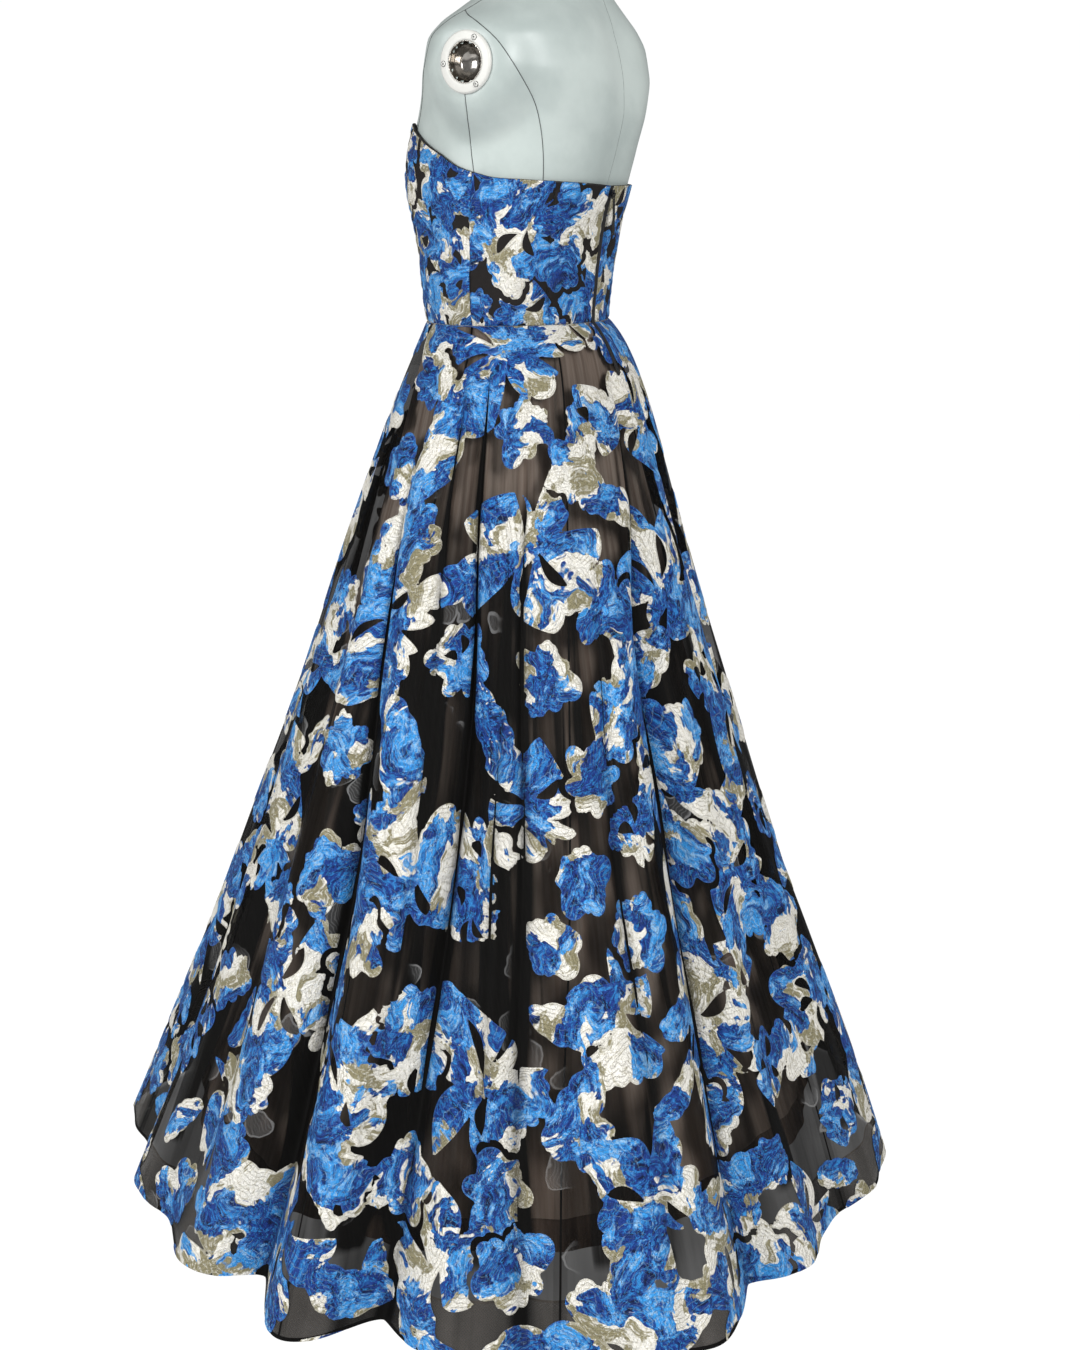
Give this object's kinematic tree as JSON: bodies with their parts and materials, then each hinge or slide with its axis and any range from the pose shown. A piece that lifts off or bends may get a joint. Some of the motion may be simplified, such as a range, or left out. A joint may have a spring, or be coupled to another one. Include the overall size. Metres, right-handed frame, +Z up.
{
  "type": "strapless tulle gown on a dress form",
  "caption": "Strapless floor-length gown with a boned bodice, a fluted sheer skirt over a lining and a back zip, standing on a limbless dress form with a round base.",
  "frame": {"origin": "centre of the stand base's underside, on the floor", "axes": "+Z up, -Y the front of the gown, +X the wearer's left"},
  "size_m": [1.0299, 1.0122, 1.5163],
  "materials": {
    "gown_cloth": "embroidered organza",
    "black_trim": "matt binding and horsehair",
    "lining_cloth": "matt lining",
    "form_vinyl": "satin vinyl",
    "plate_white": "satin",
    "socket_chrome": "polished",
    "stand_steel": "satin",
    "zip_black": "satin"
  },
  "bodies": {
    "gown_and_form": {"bodice_front": "gown_cloth", "bodice_side_front_left": "gown_cloth", "bodice_side_front_right": "gown_cloth", "bodice_side_back_left": "gown_cloth", "bodice_side_back_right": "gown_cloth", "bodice_back_left": "gown_cloth", "bodice_back_right": "gown_cloth", "neckline_binding": "black_trim", "skirt_front": "gown_cloth", "skirt_side_front_left": "gown_cloth", "skirt_side_front_right": "gown_cloth", "skirt_side_back_left": "gown_cloth", "skirt_side_back_right": "gown_cloth", "skirt_back_left": "gown_cloth", "skirt_back_right": "gown_cloth", "hem_band": "black_trim", "lining_skirt": "lining_cloth", "zip_strip": "zip_black", "zip_slider": "zip_black", "form_torso": "form_vinyl", "form_neck_cap": "form_vinyl", "arm_plate_left": "plate_white", "arm_plate_right": "plate_white", "arm_socket_left": "socket_chrome", "arm_socket_right": "socket_chrome", "stand_pole": "stand_steel", "stand_base": "stand_steel"},
    "zip_pull": {"zip_pull": "zip_black"}
  },
  "joints": [
    {"name": "zip_pull_hinge", "type": "hinge", "parent": "gown_and_form", "child": "zip_pull", "pos_m": [0, 0.12624, 1.20144], "axis": [1, 0, 0], "range_deg": [0, 150]}
  ]
}
